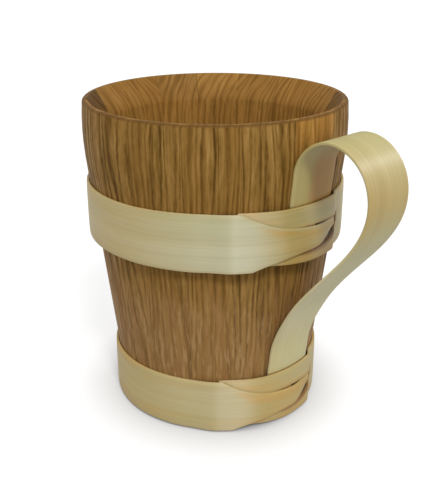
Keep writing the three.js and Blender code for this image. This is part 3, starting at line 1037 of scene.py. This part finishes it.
def low_wall_colour(shader, colour, grain, swayed):
    """The lower wall is painted paler, most on the light grain, as light thrown up by the white floor, with
    pale flecks and rosy patches
    """
    low_on_wall = shader.number("low_on_wall")
    pale_streak = shader.smooth(grain, 0.25, 0.75, 0.38, 0.5)
    colour = shader.mix(shader.times(low_on_wall, pale_streak), colour, FLOOR_LIT_OAK)
    pale_spots = shader.noise(swayed, (0.85, 0.5, 0.09))
    pale_fleck = shader.smooth(pale_spots, 0.5, 0.66, 0.0, 0.6)
    colour = shader.mix(shader.times(low_on_wall, pale_fleck), colour, LOW_WALL_FLECK)
    rosy_spots = shader.noise(swayed, (0.45, 0.3, 0.03), 1.0)
    rosy = shader.smooth(rosy_spots, 0.48, 0.68, 0.0, 0.5)
    return shader.mix(shader.times(low_on_wall, rosy), colour, ROSY_OAK)


def rim_colour(shader, colour, grain):
    """The inside is lighter and more orange, partly its own colour and partly painted light against the shade
    in the cup; some staves are set darker or lighter on the bevel; the lip is darker, partly its end grain
    and partly painted shade against the sky's reflection on it
    """
    rim = shader.vector("rim")
    lip = shader.part(rim, "X")
    inside = shader.part(rim, "Y")
    bevel_tone = shader.math("MULTIPLY_ADD", shader.part(rim, "Z"), BEVEL_TONE_STEP, 1.0)
    # Partly painted light: the inside is lit up against the shade in the cup
    colour = shader.mix(shader.times(inside, 0.45), colour, INSIDE_OAK)
    inside_grain = shader.times(inside, shader.math("SUBTRACT", grain, 0.5))
    colour = shader.brighten(colour, shader.math("MULTIPLY_ADD", inside_grain, 0.32, bevel_tone))
    # Partly painted shade: the lip is darkened against the sky's reflection on it
    return shader.mix(shader.times(lip, 0.85), colour, LIP_OAK)


def oak(name, stops, ring_spacing):
    """Oak with growth rings and fine grain, slow warm patches and dark end grain at the feet"""
    shader = Shader(name)
    board = shader.vector("board")
    end = shader.number("end_grain")
    long_face = shader.smooth(end, 0.4, 0.08)
    grain, swayed = oak_grain(shader, board, long_face, ring_spacing)
    colour = shader.ramp(grain, stops)
    warm = shader.noise(board, (0.08, 0.08, 0.01), 1.0)
    colour = shader.mix(shader.smooth(warm, 0.42, 0.68, 0.0, 0.4), colour, WARM_OAK)
    colour = shader.brighten(colour, shader.math("MULTIPLY_ADD", shader.number("tone"), TONE_STEP, 1.0))
    # Painted light from the white floor on the lower wall
    colour = low_wall_colour(shader, colour, grain, swayed)
    colour = rim_colour(shader, colour, grain)
    foot = shader.times(shader.smooth(end, 0.8, 0.98, 0.0, 0.6), shader.number("low_on_wall"))
    colour = shader.mix(foot, colour, FOOT_OAK)
    shader.set(
        Base_Color=colour,
        Roughness=shader.smooth(grain, 0.2, 0.9, 0.7, 0.52),
        Normal=shader.bump(grain, 0.35, 0.12 * MM),
        Specular_IOR_Level=0.1,
    )
    return shader.material


def amber_share(shader, lines, from_gap):
    """How amber a strip is: a thin line and golden patches along both edges, a band under the tongue's
    pale edge, and the wood under the slot, with a painted warm shade round the gap"""
    edges = shader.vector("edges")
    from_upper = shader.waved(shader.part(edges, "X"), lines, 1.2)
    from_lower = shader.waved(shader.part(edges, "Y"), lines, 1.2)
    from_edge = shader.math("MINIMUM", from_upper, from_lower)
    lock = shader.vector("lock")
    tongue = shader.part(lock, "X")
    tint = shader.part(lock, "Z")

    near_edge = shader.smooth(from_edge, 1.1, 0.2, 0.0, 0.4)
    gold_spots = shader.noise(shader.vector("strip"), (0.025, 0.15, 0.1))
    golden = shader.times(shader.smooth(from_edge, 11.0, 2.0), shader.smooth(gold_spots, 0.41, 0.57))
    # On the handle the tint is painted shade, so its golden patches lie where that shade is painted
    golden = shader.times(golden, shader.times(tint, tint))
    band = shader.times(shader.smooth(from_upper, 0.3, 1.6), shader.smooth(from_upper, 6.0, 1.6))
    on_tongue = shader.times(band, tongue)
    under_slot = shader.smooth(from_lower, 6.0, 3.0)
    # The amber under the slot is the wood's own, and the amber round the gap is painted warm shade
    amber_and_shade_round_slot = shader.math("MAXIMUM", under_slot, shader.smooth(from_gap, 2.6, 0.8))
    on_slotted_end = shader.times(amber_and_shade_round_slot, shader.part(lock, "Y"))
    pale_edge = shader.times(shader.smooth(from_upper, 1.0, 0.3), tongue)

    stain = shader.math("ADD", near_edge, shader.math("MULTIPLY_ADD", golden, 1.4, on_tongue))
    stain = shader.math("ADD", stain, on_slotted_end)
    stain = shader.math("SUBTRACT", stain, pale_edge)
    return shader.smooth(stain, 0.0, 1.2, 0.0, 0.85)


def pale_wood(name, light, straw, green, amber, deep, bend_axis):
    """Pale shaved strip: fine lengthwise fibres, slow changes of tint, amber stains and painted shade in the
    gaps.
    The fibres follow the strip round the bend axis, and shine across their length."""
    shader = Shader(name)
    strip = shader.vector("strip")
    bands = shader.noise(strip, (0.005, 0.14, 0.2))
    lines = shader.noise(strip, (0.012, 1.3, 1.0), 3.0, 0.6)
    fibre = shader.noise(strip, (0.05, 5.0, 4.0), 2.0, 0.6)
    patch = shader.noise(strip, (0.02, 0.05, 0.05), 1.0)
    tint = shader.part(shader.vector("lock"), "Z")
    # Painted shade in the gaps where one strip lies over or under another
    from_gap = shader.waved(shader.number("gap"), lines, 0.4)
    gap_shade = shader.smooth(from_gap, 1.0, 0.1, 0.0, GAP_SHADE_SHARE)

    colour = shader.mix(shader.smooth(bands, 0.3, 0.7), light, straw)
    colour = shader.mix(shader.smooth(patch, 0.4, 0.7, 0.0, 0.6), colour, green)
    # On the hoops the tint is their own colour; on the handle it is painted shade and a painted shadow
    colour = shader.mix(tint, colour, deep, "MULTIPLY")
    # Painted pale: painted light and some paler colour on the handle's lower run, and a painted highlight
    # past the crest
    colour = shader.mix(shader.times(shader.number("pale_and_lit"), PALE_LIT_SHARE), colour, PALE_LIT_WOOD)
    colour = shader.mix(amber_share(shader, lines, from_gap), colour, amber)
    colour = shader.mix(gap_shade, colour, GAP_SHADE_COLOUR)

    grain = shader.waved(shader.waved(0.5, lines, 0.6), fibre, 0.5)
    colour = shader.brighten(colour, shader.smooth(grain, 0.1, 0.9, 0.83, 1.12))
    tangent = shader.node("ShaderNodeTangent", {}, direction_type="RADIAL", axis=bend_axis).outputs[0]
    shader.set(
        Base_Color=colour,
        Roughness=shader.smooth(grain, 0.2, 0.8, 0.72, 0.62),
        Normal=shader.bump(grain, 0.3, 0.08 * MM),
        Specular_IOR_Level=1.0,
        IOR=1.65,
        Anisotropic=1.0,
        Anisotropic_Rotation=0.25,
        Tangent=tangent,
    )
    return shader.material


# Studio: floor, light and camera

def floor_material():
    """Shows white with a faint shadow that deepens near the cup, and is clear from below"""
    shader = Shader("studio_floor")
    tree = shader.tree
    tree.nodes.remove(shader.surface)
    path = shader.node("ShaderNodeLightPath", {}).outputs
    below = shader.node("ShaderNodeNewGeometry", {}).outputs["Backfacing"]
    seen = shader.math("MAXIMUM", path["Is Camera Ray"], path["Is Glossy Ray"])
    seen = shader.math("MAXIMUM", seen, path["Is Transmission Ray"])
    open_sky = shader.node("ShaderNodeAmbientOcclusion", {"Distance": FLOOR_DARK_REACH}).outputs["AO"]
    bounce_grey = (FLOOR_BOUNCE, FLOOR_BOUNCE, FLOOR_BOUNCE, 1)
    shaded_grey = (FLOOR_SHADED, FLOOR_SHADED, FLOOR_SHADED, 1)
    bounce = shader.node("ShaderNodeBsdfDiffuse", {"Color": bounce_grey}).outputs[0]
    shaded = shader.node("ShaderNodeBsdfDiffuse", {"Color": shaded_grey}).outputs[0]
    glow = shader.node("ShaderNodeEmission", {"Strength": shader.times(open_sky, FLOOR_GLOW)}).outputs[0]
    white = shader.node("ShaderNodeAddShader", {0: shaded, 1: glow}).outputs[0]
    shown = shader.node("ShaderNodeMixShader", {0: seen, 1: bounce, 2: white}).outputs[0]
    clear = shader.node("ShaderNodeBsdfTransparent", {}).outputs[0]
    from_below = shader.times(below, path["Is Camera Ray"])
    surface = shader.node("ShaderNodeMixShader", {0: from_below, 1: shown, 2: clear}).outputs[0]
    tree.links.new(surface, tree.nodes["Material Output"].inputs["Surface"])
    return shader.material


def add_floor():
    """A pale floor. It is open under the cup, where that can't be seen, to let light reach the underside."""
    mesh = new_mesh("studio_floor", *swept([(FLOOR_RADIUS, 0), (FLOOR_OPENING, 0)]))
    mesh.materials.append(floor_material())
    floor = new_object("studio_floor", mesh)


def add_world():
    """Even fill light, with a white background where the camera sees it"""
    world = bpy.data.worlds.new("studio_world")
    world.use_nodes = True
    bpy.context.scene.world = world
    tree = world.node_tree
    tree.nodes.clear()
    path = tree.nodes.new("ShaderNodeLightPath")
    mix = tree.nodes.new("ShaderNodeMixShader")
    output = tree.nodes.new("ShaderNodeOutputWorld")
    tree.links.new(path.outputs["Is Camera Ray"], mix.inputs[0])
    for socket, strength in ((1, FILL_STRENGTH), (2, SEEN_STRENGTH)):
        light = tree.nodes.new("ShaderNodeBackground")
        light.inputs["Color"].default_value = (1, 1, 1, 1)
        light.inputs["Strength"].default_value = strength
        tree.links.new(light.outputs[0], mix.inputs[socket])
    tree.links.new(mix.outputs[0], output.inputs["Surface"])


def add_key_light():
    """A soft lamp, right of the camera and above it"""
    lamp = bpy.data.lights.new("key_light", "SUN")
    lamp.energy = KEY_STRENGTH
    lamp.angle = KEY_SPREAD
    key = new_object("key_light", lamp)
    flat = math.cos(KEY_UP)
    towards = Vector((flat * math.cos(KEY_ROUND), flat * math.sin(KEY_ROUND), math.sin(KEY_UP)))
    key.location = towards
    key.rotation_euler = (-towards).to_track_quat("-Z", "Y").to_euler()


def add_camera():
    """The camera stands where the photo was taken from, and aims a little to one side of the cup's axis"""
    lens = bpy.data.cameras.new("camera")
    lens.sensor_width = SENSOR
    lens.lens = FOCAL_PIXELS / PICTURE_HEIGHT * SENSOR
    lens.clip_start = CAMERA_NEAR
    camera = new_object("camera", lens)
    back = Vector((math.cos(CAMERA_ROUND), math.sin(CAMERA_ROUND), 0))
    aside = Vector((-math.sin(CAMERA_ROUND), math.cos(CAMERA_ROUND), 0))
    place = back * CAMERA_DISTANCE + Vector((0, 0, CAMERA_HEIGHT))
    aim = aside * AIM_ASIDE + Vector((0, 0, AIM_HEIGHT))
    camera.location = place
    camera.rotation_euler = (aim - place).to_track_quat("-Z", "Y").to_euler()
    bpy.context.scene.camera = camera


add_camera()
add_world()
add_key_light()
add_floor()

hoop_wood = pale_wood(
    "hoop_wood",
    light=srgb(187, 182, 146),
    straw=srgb(180, 169, 122),
    green=srgb(176, 172, 126),
    amber=srgb(186, 150, 74),
    deep=(0.97, 0.75, 0.38, 1.0),
    bend_axis="Z",
)
handle_wood = pale_wood(
    "handle_wood",
    light=srgb(184, 172, 114),
    straw=srgb(176, 158, 92),
    green=srgb(172, 164, 102),
    amber=srgb(184, 154, 76),
    # On the handle, deep is the colour of its painted shade and of the loop's painted shadow on its root
    deep=(0.94, 0.6, 0.38, 1.0),
    bend_axis="Y",
)
add_staves(oak("oak", OAK_STOPS, ring_spacing=2.6))
add_floor_board(oak("floor_oak", FLOOR_STOPS, ring_spacing=2.4))
add_hoop("top_hoop", TOP_HOOP_LOW, amber=0.7, tint=0.66, pale=1.0, seed=3, material=hoop_wood)
add_hoop("bottom_hoop", BOTTOM_HOOP_LOW, amber=1.0, tint=0.95, pale=0.5, seed=7, material=hoop_wood)
add_handle(handle_wood)

bpy.context.scene.view_settings.view_transform = "Standard"
